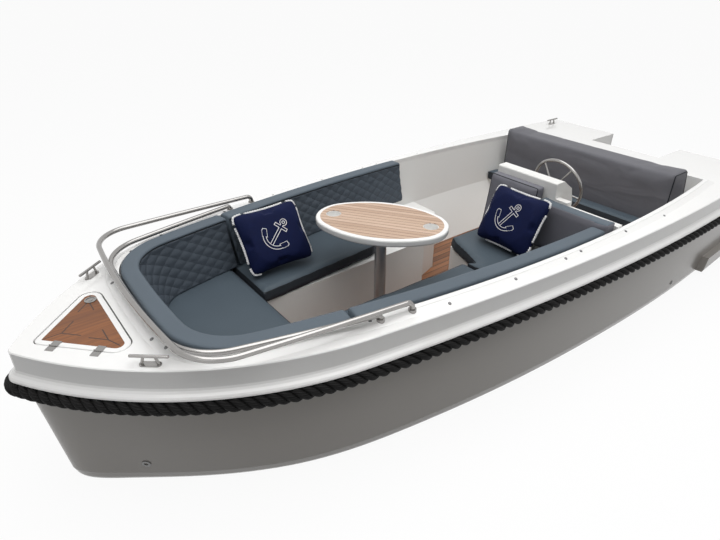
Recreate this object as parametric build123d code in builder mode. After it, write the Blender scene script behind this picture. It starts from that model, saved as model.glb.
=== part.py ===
"""Open tender boat, 4.8 m: hull, deck moulding, cockpit liner, U-shaped seating, helm, table and deck gear.

Millimetres. +X forward, +Y to port, +Z up. The origin is on the waterline amidships.
"""
from build123d import *
import math
import os

os.makedirs("parts", exist_ok=True)

# ---- driving dimensions -------------------------------------------------------------------------
stern_x = -2400.0                 # transom
deck_tip_x = 2381.0               # foremost point of the deck edge
tip_radius, tip_turn = 45.0, 33.15        # deck edge in plan: three tangent arcs a side
shoulder_radius, shoulder_turn = 1685.0, 47.93
side_radius, side_turn = 15450.0, 22.0

sheer_z = 717.6                   # deck edge above the waterline amidships
sheer_slope = 0.0135              # the sheer rises forward
band_height = 85.0                # flat side of the deck moulding
bead_height, bead_proud = 42.0, 30.0      # rounded rubbing bead below it
laminate = 12.0                   # glass laminate thickness of deck and liner
coaming_width, coaming_lip, coaming_height = 60.0, 24.0, 18.0    # sloped step up to a narrow flat lip
opening_reach = 3000.0            # plan size that takes in the whole boat

opening_front_x = 1887.0          # cockpit opening in plan: three tangent arcs a side
opening_arcs = ((4700.0, 3.2), (339.0, 71.0), (1390.0, 3.2), (9700.0, 24.0))
cockpit_aft_x = -1760.0

hull_skin = 16.0
keel_z = -90.0
sole_z = 40.0                   # top of the teak planking
teak = 12.0
rope_radius = 30.0
rope_drop = band_height + bead_height + rope_radius
rope_out = 23.0                   # rope centreline outside the deck edge

knuckle_z = 375.0                 # moulded knuckle along the liner walls
seat_z = 458.0                    # top of the lounge cushions
cushion = 78.0
back_top = 34.0                   # backrest roll above the sheer
back_thick = 86.0

lid_apex_x, lid_aft_x, lid_half = 2300.0, 1985.0, 330.0   # anchor locker lid, a rounded triangle
lid_corner, lid_nose = 50.0, 30.0 # radii of its aft corners and its apex
lid_gap = 5.0
lid_thick = 16.0

wheel_centre = Vector(-800.0, 228.0, 742.0)
wheel_radius = 186.0
wheel_rake = 14.0                 # degrees, top of the wheel leans forward
table_centre = (534.0, 0.0)
table_top_z = 778.0
table_long, table_wide = 380.0, 250.0     # half axes of the rim
table_angle = 125.0               # of the long axis from +X

# ---- shared construction -------------------------------------------------------------------------
sheer_angle = math.degrees(math.atan(sheer_slope))
sheer = Plane(
    origin=(0, 0, sheer_z),
    x_dir=(math.cos(math.radians(sheer_angle)), 0, math.sin(math.radians(sheer_angle))),
    z_dir=(-math.sin(math.radians(sheer_angle)), 0, math.cos(math.radians(sheer_angle))),
)
deck_arcs = ((tip_radius, tip_turn), (shoulder_radius, shoulder_turn), (side_radius, side_turn))


def tube(plane, front_x, arcs, radius, inset=0.0, bend=0.0, drop=0.0, sides=0):
    """Tube or rope along tangent arcs in a plane, both sides. It is round, or a polygon with that many sides.
    Its ends may bend down and drop to a foot."""
    with BuildLine() as flat:
        arc_chain(front_x, arcs, inset)
    path = plane.from_local_coords(flat.line)
    if bend:
        end, along, down = path @ 1, path % 1, plane.z_dir * -1
        half_turn = math.sqrt(0.5)
        with BuildLine() as route:
            add(path.edges())
            middle = end + along * bend * half_turn + down * bend * (1 - half_turn)
            ThreePointArc(end, middle, end + (along + down) * bend)
            Line(end + (along + down) * bend, end + (along + down) * bend + down * (drop - bend))
        path = route.wire()
    with BuildPart() as half:
        with BuildSketch(Plane(origin=path @ 0, z_dir=path % 0)):
            if sides:
                RegularPolygon(radius, sides)
            else:
                Circle(radius)
        sweep(path=path)
        mirror(about=Plane.XZ)
    return half.part


def sheer_height(x):
    """Height of the deck edge at x."""
    return sheer_z + sheer_slope * x


def arc_chain(front_x, arcs, inset=0.0):
    """Port side of a plan outline: tangent arcs from the centreline at the bow, moved inwards by inset."""
    start, heading = Vector(front_x - inset, 0), 90.0
    for radius, turn in arcs:
        tangent = (math.cos(math.radians(heading)), math.sin(math.radians(heading)))
        piece = JernArc(start=start, tangent=tangent, radius=radius - inset, arc_size=turn)
        start, heading = piece @ 1, heading + turn
    return start


def plan(plane, front_x, arcs, inset=0.0, aft_x=stern_x):
    """Closed plan outline on a plane, cut straight across at aft_x."""
    with BuildSketch(plane) as sketch:
        with BuildLine():
            end = arc_chain(front_x, arcs, inset)
            Line(end, (end.X, 0))
            mirror(about=Plane.XZ)
        make_face()
        with Locations((aft_x, 0)):
            Rectangle(2 * opening_reach, opening_reach, align=(Align.MIN, Align.CENTER), mode=Mode.INTERSECT)
    return sketch.sketch


def deck_plan(height, inset=0.0, aft_x=stern_x):
    return plan(sheer.offset(height), deck_tip_x, deck_arcs, inset, aft_x)


def opening_plan(height, inset=0.0, aft_x=cockpit_aft_x):
    return plan(sheer.offset(height), opening_front_x, opening_arcs, inset, aft_x + inset)


def half_breadth(x):
    """Deck half-breadth at x, from the three plan arcs."""
    centre, start_angle = Vector(deck_tip_x - tip_radius, 0), 0.0
    radii = [tip_radius, shoulder_radius, side_radius]
    for index, turn in enumerate((tip_turn, shoulder_turn, side_turn)):
        end_angle = start_angle + turn
        end_x = centre.X + radii[index] * math.cos(math.radians(end_angle))
        if x >= end_x or index == 2:
            return centre.Y + math.sqrt(max(radii[index] ** 2 - (x - centre.X) ** 2, 0))
        step = radii[index] - radii[index + 1]
        direction = Vector(math.cos(math.radians(end_angle)), math.sin(math.radians(end_angle)))
        centre, start_angle = centre + direction * step, end_angle


# Hull levels: height, stem x, breadth amidships over deck breadth, how much finer the bow is.
# The topsides are straight frames down to the turn of the bilge.
hull_levels = (
    (630.0, 2374.0, 0.992, 0.03),
    (60.0, 2322.0, 0.948, 0.48),
    (18.0, 2309.0, 0.934, 0.515),
    (-15.0, 2290.0, 0.915, 0.56),
    (-39.0, 2263.0, 0.880, 0.595),
    (-55.0, 2235.0, 0.840, 0.62),
)
keel_set_back, keel_share = 60.0, 0.10    # keel line: behind the stem, and its share of the breadth
bow_length = 550.0
least_half = 6.0
station_fractions = (0.035, 0.085, 0.18, 0.30, 0.43, 0.60, 0.80, 1.0)


def hull_face(height, stem_x, ratio, fine, skin=0.0, scale=1.0):
    """Waterline outline: deck breadth times a ratio that fines away towards the bow."""
    points = []
    front, aft = stem_x - 1.6 * skin, stern_x + skin
    for fraction in station_fractions:
        x = front + (aft - front) * fraction
        breadth = half_breadth(x) * (ratio - fine * math.exp(-(front - x) / bow_length))
        points.append((x, max(breadth * scale - skin, least_half)))
    with BuildSketch(Plane.XY.offset(height)) as sketch:
        with BuildLine():
            Spline((front, 0), *points, tangents=[(0, 1), (-1, -0.04)], tangent_scalars=[0.6, 1.0])
            Line(points[-1], (aft, 0))
            mirror(about=Plane.XZ)
        make_face()
    return sketch.sketch


def hull_solid(skin=0.0):
    """Hull form: straight topsides, a rounded bilge and a shallow vee bottom."""
    faces = [hull_face(z, x, r, f, skin) for z, x, r, f in hull_levels]
    faces[-1] = hull_face(hull_levels[-1][0] + 0.7 * skin, *hull_levels[-1][1:], skin)
    z, x, r, f = hull_levels[-1]
    with BuildPart() as form:
        loft(faces, ruled=True)
        keel_line = hull_face(keel_z + skin, x - keel_set_back, r, f, skin, scale=keel_share)
        loft([faces[-1], keel_line], ruled=True)
    return form.part


knuckle_front, knuckle_inset, knuckle_aft = opening_front_x - 60.0, 62.0, cockpit_aft_x + 20.0
sole_front, sole_inset, sole_aft = opening_front_x - 180.0, 235.0, cockpit_aft_x + 90.0


def cavity(inset, bottom=sole_z - teak, top=60.0, aft_x=cockpit_aft_x):
    """Cockpit space: opening outline, down to the wall knuckle, then in to the sole."""
    top_face = opening_plan(top, inset, aft_x)
    rim_face = opening_plan(-laminate, inset, aft_x)
    level, floor = Plane.XY.offset(knuckle_z), Plane.XY.offset(bottom)
    middle = plan(level, knuckle_front, opening_arcs, knuckle_inset + inset, knuckle_aft + inset)
    low = plan(floor, sole_front, opening_arcs, sole_inset + inset, sole_aft + inset)
    with BuildPart() as space:
        loft([rim_face, top_face], ruled=True)
        loft([middle, rim_face], ruled=True)
        loft([low, middle], ruled=True)
    return space.part


def box_between(low, high):
    """Box from one corner to the other."""
    size = [b - a for a, b in zip(low, high)]
    with BuildPart() as block:
        with Locations(low):
            Box(*size, align=(Align.MIN, Align.MIN, Align.MIN))
    return block.part


def slab(points, bottom, top):
    """Vertical prism over a plan polygon."""
    with BuildPart() as prism:
        with BuildSketch(Plane.XY.offset(bottom)):
            Polygon(*points, align=None)
        extrude(amount=top - bottom)
    return prism.part


def finish(part, name):
    """Label a sub-part and write its STEP file."""
    part.label = name
    export_step(part, f"parts/{name}.step")


# ---- hull: outer laminate, closed transom, cut level with the underside of the rubbing bead ------
well_half, well_front, well_sill = 290.0, -2050.0, 340.0
well_top = 1000.0                 # cutting height, clear above the deck
hull_top = sheer.offset(-band_height - bead_height)
hull_form = hull_solid()
with BuildPart() as hull:
    add(hull_form)
    add(hull_solid(hull_skin), mode=Mode.SUBTRACT)
    split(bisect_by=hull_top, keep=Keep.BOTTOM)
    low = (stern_x - 50, -well_half, well_sill)
    add(box_between(low, (stern_x + 60, well_half, well_top)), mode=Mode.SUBTRACT)
finish(hull.part, "hull")

# ---- deck moulding: side band, rubbing bead, gunwale, foredeck, aft deck and raised coaming ------
deck_plate = 14.0
# Outer edge from the top down: depth below the deck, and how far it stands out from the deck outline.
bead_bottom = band_height + bead_height
cove = ((9.0, 4.0), (17.0, 12.0), (24.0, 22.0), (31.0, 28.0))
edge_profile = (
    (0.0, -4.0), (4.0, 0.0), (band_height, 0.0), *((band_height + down, out) for down, out in cove),
    (bead_bottom - 4, bead_proud), (bead_bottom, bead_proud - 3),
)
coaming_profile = (               # height above the deck, and how far outside the opening
    (-1.0, coaming_width), (0.0, coaming_width), (coaming_height - 4, coaming_lip + 4),
    (coaming_height, coaming_lip),
)


def lid_outline(plane, grow=0.0):
    """Rounded triangle of the anchor locker lid, apex towards the bow."""
    with BuildSketch(plane) as sketch:
        Polygon((lid_apex_x, 0), (lid_aft_x, lid_half), (lid_aft_x, -lid_half), align=None)
        fillet(sketch.vertices().group_by(Axis.X)[0], lid_corner)
        fillet(sketch.vertices().sort_by(Axis.X)[-1], lid_nose)
        if grow:
            offset(amount=grow, kind=Kind.ARC)
    return sketch.sketch


def well_box(grow, bottom, top):
    """Space of the motor well, open aft."""
    return box_between((stern_x - 60, -well_half - grow, bottom), (well_front + grow, well_half + grow, top))


with BuildPart() as deck:
    loft([deck_plan(-depth, -proud) for depth, proud in edge_profile], ruled=True)
    inside = deck_plan(-bead_bottom, laminate, stern_x + laminate)
    extrude(inside, amount=bead_bottom - deck_plate, dir=sheer.z_dir, mode=Mode.SUBTRACT)
    loft([opening_plan(height, -wide) for height, wide in coaming_profile], ruled=True)
    extrude(
        opening_plan(-deck_plate - 1), amount=deck_plate + coaming_height + 2, dir=sheer.z_dir,
        mode=Mode.SUBTRACT,
    )
    extrude(
        lid_outline(sheer.offset(-deck_plate - 1), lid_gap), amount=deck_plate + 2, dir=sheer.z_dir,
        mode=Mode.SUBTRACT,
    )
    add(well_box(0, 0, well_top), mode=Mode.SUBTRACT)
finish(deck.part, "deck")

# ---- rope fender: one length of rope laid round the sheer under the bead ---------------------------
rope_sides = 12
rope_arcs = ((tip_radius, tip_turn), (shoulder_radius, shoulder_turn), (side_radius, 13.3))
with BuildPart() as rope_fender:
    add(tube(sheer.offset(-rope_drop), deck_tip_x, rope_arcs, rope_radius, -rope_out, sides=rope_sides))
    add(hull_form, mode=Mode.SUBTRACT)
finish(rope_fender.part, "rope_fender")

# ---- anchor locker: bin under the lid opening ----------------------------------------------------
locker_depth, locker_wall = 250.0, 8.0
locker_floor = -deck_plate - locker_depth
with BuildPart() as anchor_locker:
    outside = lid_outline(sheer.offset(locker_floor), lid_gap + locker_wall)
    extrude(outside, amount=locker_depth, dir=sheer.z_dir)
    inside = lid_outline(sheer.offset(locker_floor + locker_wall), lid_gap)
    extrude(inside, amount=locker_depth, dir=sheer.z_dir, mode=Mode.SUBTRACT)
finish(anchor_locker.part, "anchor_locker")

# ---- liner: inner moulding of the cockpit walls and floor ---------------------------------------
with BuildPart() as liner:
    add(cavity(-laminate, bottom=sole_z - teak - laminate))
    split(bisect_by=sheer.offset(-deck_plate), keep=Keep.BOTTOM)
    add(cavity(0), mode=Mode.SUBTRACT)
finish(liner.part, "liner")

# ---- seat bases: moulded benches on the liner floor -----------------------------------------------
base_top = seat_z - cushion
bow_seat_x = 1215.0
floor_z = sole_z - teak
room = cavity(1.0, bottom=floor_z + 0.5)
bench_front_y = 205.0             # riser of the side benches
starboard_region = (
    (bow_seat_x - 1, -bench_front_y), (-40, -bench_front_y - 15), (-85, -285), (-270, -345), (-430, -520),
    (-430, -1000), (bow_seat_x - 1, -1000),
)
port_region = (
    (bow_seat_x - 1, bench_front_y), (70, bench_front_y + 45), (70, 1000), (bow_seat_x - 1, 1000),
)
aft_region = ((69, 330), (10, 300), (-95, 0), (-120, -50), (-504, -50), (-504, 1000), (69, 1000))
seat_regions = {
    "bow": ((bow_seat_x, -1000), (bow_seat_x, 1000), (2300, 1000), (2300, -1000)),
    "starboard": starboard_region,
    "port": port_region,
    "aft": aft_region,
}
with BuildPart() as bench_bases:
    for region in seat_regions.values():
        add(slab(region, floor_z + 0.5, base_top))
    add(room, mode=Mode.INTERSECT)
finish(bench_bases.part, "bench_bases")

helm_seat_z, helm_front_x, helm_back_x = seat_z, -1270.0, -1405.0
with BuildPart() as helm_bench_base:
    low = (cockpit_aft_x - 100, -1000, floor_z + 0.5)
    add(box_between(low, (helm_front_x - 25, 1000, helm_seat_z - cushion)))
    add(room, mode=Mode.INTERSECT)
finish(helm_bench_base.part, "helm_bench_base")

# ---- sole: teak planking laid between the bench risers ---------------------------------------------
with BuildPart() as sole:
    add(box_between((helm_front_x - 24, -1000, floor_z), (bow_seat_x - 1, 1000, sole_z)))
    add(cavity(2.0, bottom=floor_z), mode=Mode.INTERSECT)
    for name in ("starboard", "port", "aft"):
        with BuildSketch(Plane.XY.offset(floor_z - 1)):
            Polygon(*seat_regions[name], align=None)
            offset(amount=1.0, kind=Kind.INTERSECTION)
        extrude(amount=teak + 2, mode=Mode.SUBTRACT)
    # The console and the bulkhead stand on the liner, not on the planks.
    add(box_between((-760, -52, floor_z - 1), (-503, 1000, sole_z + 1)), mode=Mode.SUBTRACT)
finish(sole.part, "sole")

# ---- seat cushions: plain closed forms, crowned and piped cushions are fitted over them -----------
cushion_room = cavity(6.0, bottom=floor_z)
starboard_cushion = (
    (bow_seat_x - 3, -180), (380, -250), (215, -330), (120, -470), (60, -1000), (bow_seat_x - 3, -1000),
)
port_cushion = ((bow_seat_x - 3, 180), (72, 235), (72, 1000), (bow_seat_x - 3, 1000))
aft_cushion = ((69, 235), (20, 293), (-71, 20), (-110, -45), (-380, -45), (-380, 1000), (69, 1000))
cushion_regions = {
    "bow_seat_cushion": ((bow_seat_x, -1000), (bow_seat_x, 1000), (2300, 1000), (2300, -1000)),
    "starboard_seat_cushion": starboard_cushion,
    "port_seat_cushion": port_cushion,
    "aft_seat_cushion": aft_cushion,
}
for name, region in cushion_regions.items():
    with BuildPart() as pad:
        add(slab(region, base_top + 0.5, seat_z))
        add(cushion_room, mode=Mode.INTERSECT)
    finish(pad.part, name)

with BuildPart() as helm_seat_cushion:
    add(box_between((helm_back_x + 2, -1000, helm_seat_z - cushion + 0.5), (helm_front_x, 1000, helm_seat_z)))
    add(cushion_room, mode=Mode.INTERSECT)
finish(helm_seat_cushion.part, "helm_seat_cushion")

# ---- backrests: ring of padding along the cockpit wall, cut into its four cushions ----------------
ring_room = cavity(6.0, bottom=floor_z, top=back_top)
ring_inner = cavity(6.0 + back_thick, bottom=floor_z, top=back_top + 1)
back_regions = {
    "bow_backrest": ((bow_seat_x + 1, -1000), (bow_seat_x + 1, 1000), (2300, 1000), (2300, -1000)),
    "starboard_backrest": ((bow_seat_x - 1, -1000), (bow_seat_x - 1, 0), (-240, 0), (-240, -1000)),
    "port_backrest": ((bow_seat_x - 1, 1000), (bow_seat_x - 1, 0), (-415, 0), (-415, 1000)),
}
for name, region in back_regions.items():
    with BuildPart() as back:
        add(slab(region, seat_z + 1, 900))
        add(ring_room, mode=Mode.INTERSECT)
        add(ring_inner, mode=Mode.SUBTRACT)
    finish(back.part, name)

# ---- helm console: housing at the forward end of the helm, with a bulkhead out to the port wall ----
console_front, console_top, console_y = -512.0, 866.0, (-48.0, 403.0)
console_back, console_brow, console_edge = -680.0, -712.0, 10.0
console_profile = (
    (console_front, floor_z + 0.5), (console_front, console_top), (console_front - 75, console_top),
    (console_back, 800), (console_brow, 710), (console_back, 450), (console_back, floor_z + 0.5),
)
with BuildPart() as console:
    with BuildSketch(Plane.XZ.offset(-console_y[1])):
        Polygon(*console_profile, align=None)
    extrude(amount=console_y[1] - console_y[0])
    fillet(console.edges().filter_by(Axis.Y).group_by(Axis.Z)[-1], console_edge)
finish(console.part, "console")

bulkhead_top, bulkhead_thick = 740.0, 48.0
ledge_top, ledge_end_y = 778.0, 490.0     # low shelf beside the console
with BuildPart() as helm_bulkhead:
    low = (console_front - bulkhead_thick, console_y[1] + 1, floor_z + 0.5)
    add(box_between(low, (console_front, 1000, bulkhead_top)))
    add(box_between(low, (console_front, ledge_end_y, ledge_top)))
    add(room, mode=Mode.INTERSECT)
finish(helm_bulkhead.part, "helm_bulkhead")

# Two backrests stand on the aft seat against the console and the bulkhead: foot x, top x, top z, ends in y.
low_z, rest_back = seat_z + 1, console_front + 4
rest_room = cavity(6.0, bottom=floor_z, top=200.0)
backrests = {
    "console_backrest": (-382.0, -436.0, 837.0, (-42.0, 333.0)),
    "aft_backrest": (-418.0, -428.0, 772.0, (336.0, 1000.0)),
}
for name, (foot_x, top_x, top_z, (start_y, end_y)) in backrests.items():
    with BuildPart() as rest:
        with BuildSketch(Plane.XZ.offset(-end_y)):
            Polygon((foot_x, low_z), (top_x, top_z), (rest_back, top_z), (rest_back, low_z), align=None)
        extrude(amount=end_y - start_y)
        add(rest_room, mode=Mode.INTERSECT)
    finish(rest.part, name)

# ---- stern backrest: tall padded bolster across the boat behind the helm seat ---------------------
bolster_low, bolster_top, bolster_half = helm_seat_z - cushion + 1, 808.0, 715.0
bolster_front, bolster_crest, bolster_foot = helm_back_x - 5, -1600.0, -1735.0
with BuildPart() as stern_backrest:
    with BuildSketch(Plane.XZ.offset(-bolster_half)):
        front = ((bolster_front, bolster_low), (bolster_front, bolster_top))
        Polygon(*front, (bolster_crest, bolster_top), (bolster_foot, bolster_low), align=None)
    extrude(amount=2 * bolster_half)
    add(rest_room, mode=Mode.INTERSECT)
finish(stern_backrest.part, "stern_backrest")

# ---- steering: dished five-spoke wheel on a boss on the console --------------------------------------
rake = math.radians(wheel_rake)
wheel_plane = Plane(origin=wheel_centre, x_dir=(0, 1, 0), z_dir=(-math.cos(rake), 0, math.sin(rake)))
rim_tube, rim_sides, spoke_count, spoke_radius, dish = 10.0, 12, 5, 5.0, 45.0
hub_radius, hub_back, hub_thick, boss_length = 30.0, 14.0, 26.0, 60.0
with BuildPart() as steering_wheel:
    with BuildSketch(wheel_plane.offset(-dish - hub_back)):
        Circle(hub_radius)
    extrude(amount=hub_thick)
    rim_start = wheel_plane.from_local_coords((wheel_radius - rim_tube, 0, 0))
    with BuildSketch(Plane(origin=rim_start, x_dir=wheel_plane.x_dir, z_dir=wheel_plane.y_dir)):
        RegularPolygon(rim_tube, rim_sides)
    revolve(axis=Axis(wheel_plane.origin, wheel_plane.z_dir))
    for index in range(spoke_count):
        angle = math.radians(90 + index * 360 / spoke_count)
        out = Vector(math.cos(angle), math.sin(angle), 0)
        foot = wheel_plane.from_local_coords(out * (hub_radius - 8) - Vector(0, 0, dish))
        head = wheel_plane.from_local_coords(out * (wheel_radius - rim_tube))
        with BuildSketch(Plane(origin=foot, z_dir=head - foot)):
            Circle(spoke_radius)
        extrude(amount=(head - foot).length)
finish(steering_wheel.part, "steering_wheel")

with BuildPart() as steering_boss:
    with BuildSketch(wheel_plane.offset(-dish - hub_back - 1)):
        Circle(hub_radius + 4)
    extrude(amount=-boss_length)
    add(console.part, mode=Mode.SUBTRACT)
finish(steering_boss.part, "steering_boss")

# ---- table: oval top with a raised rim and two cup wells, on a pedestal in a floor socket ----------
post_radius = 34.0
flange_radius, flange_thick = 70.0, 10.0
collar_radius, collar_height, lever_length = 42.0, 46.0, 80.0
top_thick, inlay_deep, rim_width = 40.0, 4.0, 26.0
table_end = 190.0                 # radius of the oval's ends
cup_radius, cup_wall, cup_depth, cup_offset = 43.0, 3.0, 55.0, 283.0


def oval(plane, long, wide, end_radius):
    """Oval of four tangent arcs, its long axis along the plane's x."""
    side_radius = ((long - end_radius) ** 2 + wide ** 2 - end_radius ** 2) / (2 * (wide - end_radius))
    turn = math.degrees(math.atan2(side_radius - wide, long - end_radius))
    with BuildSketch(plane) as sketch:
        with BuildLine():
            first = JernArc(start=(long, 0), tangent=(0, 1), radius=end_radius, arc_size=turn)
            second = JernArc(start=first @ 1, tangent=first % 1, radius=side_radius, arc_size=180 - 2 * turn)
            JernArc(start=second @ 1, tangent=second % 1, radius=end_radius, arc_size=turn)
            mirror(about=Plane.XZ)
        make_face()
    return sketch.sketch


table_plane = Plane(origin=(*table_centre, table_top_z)).rotated((0, 0, table_angle))
# Rounded rim from the top down: depth, and how far inside the outline.
rim_profile = ((0.0, 8.0), (2.0, 4.0), (6.0, 1.0), (11.0, 0.0), (29.0, 0.5), (36.0, 3.0), (top_thick, 8.0))


def table_oval(depth, inset):
    """The table's outline at a depth below its top."""
    return oval(table_plane.offset(-depth), table_long - inset, table_wide - inset, table_end - inset)


with BuildPart() as table_top:
    loft([table_oval(depth, inset) for depth, inset in rim_profile], ruled=True)
    extrude(table_oval(inlay_deep, rim_width), amount=inlay_deep, mode=Mode.SUBTRACT)
    with BuildSketch(table_plane.offset(-inlay_deep)):
        with Locations((cup_offset, 0), (-cup_offset, 0)):
            Circle(cup_radius)
    extrude(amount=-cup_depth)
    with BuildSketch(table_plane):
        with Locations((cup_offset, 0), (-cup_offset, 0)):
            Circle(cup_radius - cup_wall)
    extrude(amount=-cup_depth + cup_wall, mode=Mode.SUBTRACT)
    with BuildSketch(table_plane.offset(-top_thick)):
        Circle(flange_radius)
    extrude(amount=-flange_thick)
finish(table_top.part, "table_top")

with BuildPart() as table_inlay:
    extrude(table_oval(inlay_deep, rim_width), amount=inlay_deep)
    with BuildSketch(table_plane.offset(-inlay_deep)):
        with Locations((cup_offset, 0), (-cup_offset, 0)):
            Circle(cup_radius + 1)
    extrude(amount=inlay_deep, mode=Mode.SUBTRACT)
finish(table_inlay.part, "table_inlay")

post_bottom = sole_z + 8
post_top = table_top_z - top_thick - flange_thick
with BuildPart() as table_post:
    with BuildSketch(Plane(origin=(*table_centre, post_bottom))):
        Circle(post_radius)
    extrude(amount=post_top - post_bottom)
    with BuildSketch(Plane(origin=(*table_centre, post_top - collar_height))):
        Circle(collar_radius)
    extrude(amount=collar_height)
    lever = Plane(origin=(*table_centre, post_top - collar_height / 2), x_dir=(0, 1, 0), z_dir=(-1, 0, 0))
    with BuildSketch(lever.offset(collar_radius - 2)):
        SlotOverall(lever_length, 14)
    extrude(amount=10)
finish(table_post.part, "table_post")

socket_radius, socket_height = 85.0, 75.0
with BuildPart() as table_socket:
    with BuildSketch(Plane(origin=(*table_centre, sole_z))):
        Circle(socket_radius)
    extrude(amount=6)
    with BuildSketch(Plane(origin=(*table_centre, sole_z))):
        Circle(post_radius + 9)
    extrude(amount=socket_height)
    with BuildSketch(Plane(origin=(*table_centre, post_bottom - 1))):
        Circle(post_radius + 0.3)
    extrude(amount=100, mode=Mode.SUBTRACT)
finish(table_socket.part, "table_socket")

# ---- anchor locker lid with teak inlay, flush lift latch and two hinges on its port edge -----------
inlay_inset, inlay_thick = -24.0, 3.0
lid_edge = 2.5                    # eased top edge of the lid
with BuildPart() as locker_lid:
    extrude(lid_outline(sheer.offset(-lid_thick)), amount=lid_thick, dir=sheer.z_dir)
    chamfer(locker_lid.faces().sort_by(Axis(sheer.origin, sheer.z_dir))[-1].edges(), lid_edge)
    recess = sheer.offset(-inlay_thick)
    extrude(lid_outline(recess, inlay_inset), amount=inlay_thick, dir=sheer.z_dir, mode=Mode.SUBTRACT)
finish(locker_lid.part, "locker_lid")

latch_place = (2036.0, -186.0)
latch_radius = 25.0
with BuildPart() as locker_inlay:
    extrude(lid_outline(sheer.offset(-inlay_thick), inlay_inset - 0.5), amount=inlay_thick, dir=sheer.z_dir)
    with BuildSketch(sheer.offset(-inlay_thick)):
        with Locations(latch_place):
            Circle(latch_radius + 1)
    extrude(amount=inlay_thick, mode=Mode.SUBTRACT)
finish(locker_inlay.part, "locker_inlay")

with BuildPart() as locker_latch:
    for radius, bore, top in ((latch_radius, 19.0, 3.0), (20.0, 0.0, 1.0), (9.0, 0.0, 2.5)):
        with BuildSketch(sheer.offset(-inlay_thick)):
            with Locations(latch_place):
                Circle(radius)
                if bore:
                    Circle(bore, mode=Mode.SUBTRACT)
        extrude(amount=inlay_thick + top)
finish(locker_latch.part, "locker_latch")

# Hinge line: along the middle of the gap on the port edge, just above the deck.
edge_start, edge_end = Vector(lid_apex_x, 0), Vector(lid_aft_x, lid_half)
edge_dir = (edge_end - edge_start).normalized()
edge_out = Vector(-edge_dir.Y, edge_dir.X) * (1 if -edge_dir.Y > 0 else -1)
hinge_lift, knuckle_radius, hinge_length = 3.5, 3.5, 34.0
leaf_width, leaf_thick = 30.0, 2.5
knuckle_half, knuckle_gap, knuckle_room = 5.5, 0.3, 0.7    # middle knuckle, and the play round it
hinge_spots = (0.21, 0.62)
hinge_planes = []
for spot in hinge_spots:
    place = edge_start + (edge_end - edge_start) * spot + edge_out * (lid_gap / 2)
    origin = sheer.from_local_coords((place.X, place.Y, hinge_lift))
    along = sheer.from_local_coords((place.X + edge_dir.X, place.Y + edge_dir.Y, hinge_lift)) - origin
    hinge_planes.append(Plane(origin=origin, x_dir=along, z_dir=sheer.z_dir))


def hinge_leaf(plane, side):
    """Flat leaf of one hinge, beside the pin, with its corners square."""
    with BuildPart() as leaf:
        with BuildSketch(plane.offset(-hinge_lift)):
            with Locations((0, side * (leaf_width / 2 + 1))):
                Rectangle(hinge_length, leaf_width)
        extrude(amount=leaf_thick)
    return leaf.part


def knuckle(plane, low, high, radius=knuckle_radius):
    """Stretch of hinge knuckle along the pin."""
    start = plane.origin + plane.x_dir * low
    with BuildPart() as barrel:
        with BuildSketch(Plane(origin=start, x_dir=plane.y_dir, z_dir=plane.x_dir)):
            Circle(radius)
        extrude(amount=high - low)
    return barrel.part


barrel_end, outer_start = hinge_length / 2, knuckle_half + knuckle_gap
clear_radius = knuckle_radius + knuckle_room
with BuildPart() as deck_hinges:
    for plane in hinge_planes:
        add(hinge_leaf(plane, -1))
        add(knuckle(plane, -barrel_end - 1, -outer_start, clear_radius), mode=Mode.SUBTRACT)
        add(knuckle(plane, outer_start, barrel_end + 1, clear_radius), mode=Mode.SUBTRACT)
        add(knuckle(plane, -knuckle_half, knuckle_half))
finish(deck_hinges.part, "deck_hinges")
with BuildPart() as lid_hinges:
    for plane in hinge_planes:
        add(hinge_leaf(plane, 1))
        add(knuckle(plane, -outer_start, outer_start, clear_radius), mode=Mode.SUBTRACT)
        add(knuckle(plane, -barrel_end, -outer_start))
        add(knuckle(plane, outer_start, barrel_end))
finish(lid_hinges.part, "lid_hinges")

# ---- horn cleats: two forward, two aft, each in line with the deck edge -------------------------------
cleat_length, cleat_height, horn_radius = 150.0, 46.0, 6.5
cleat_foot, foot_half, neck_half = (84.0, 30.0), 33.0, 22.0    # base size, and where the splayed legs stand
cleat_spots = {"bow_cleats": (1974.0, 404.0, 141.0), "stern_cleats": (-2230.0, 820.0, 180.0)}
for name, (x, y, turn) in cleat_spots.items():
    direction = (math.cos(math.radians(turn)), math.sin(math.radians(turn)), 0)
    base_plane = Plane(origin=sheer.from_local_coords((x, y, 0)), x_dir=direction, z_dir=sheer.z_dir)
    horn_axis = cleat_height - horn_radius
    horn_start = base_plane.from_local_coords((-cleat_length / 2, 0, horn_axis))
    with BuildPart() as cleats:
        with BuildSketch(base_plane):
            SlotOverall(*cleat_foot)
        extrude(amount=5)
        for side in (-1, 1):
            foot = base_plane.from_local_coords((side * foot_half, 0, 2))
            neck = base_plane.from_local_coords((side * neck_half, 0, horn_axis))
            with BuildSketch(Plane(origin=foot, z_dir=neck - foot)):
                Circle(5.5)
            extrude(amount=(neck - foot).length)
        with BuildSketch(Plane(origin=horn_start, x_dir=base_plane.y_dir, z_dir=base_plane.x_dir)):
            Circle(horn_radius)
        extrude(amount=cleat_length)
        chamfer(cleats.edges().filter_by(GeomType.CIRCLE).filter_by(lambda e: e.radius == horn_radius), 3)
        mirror(about=Plane.XZ)
    finish(cleats.part, name)

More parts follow.
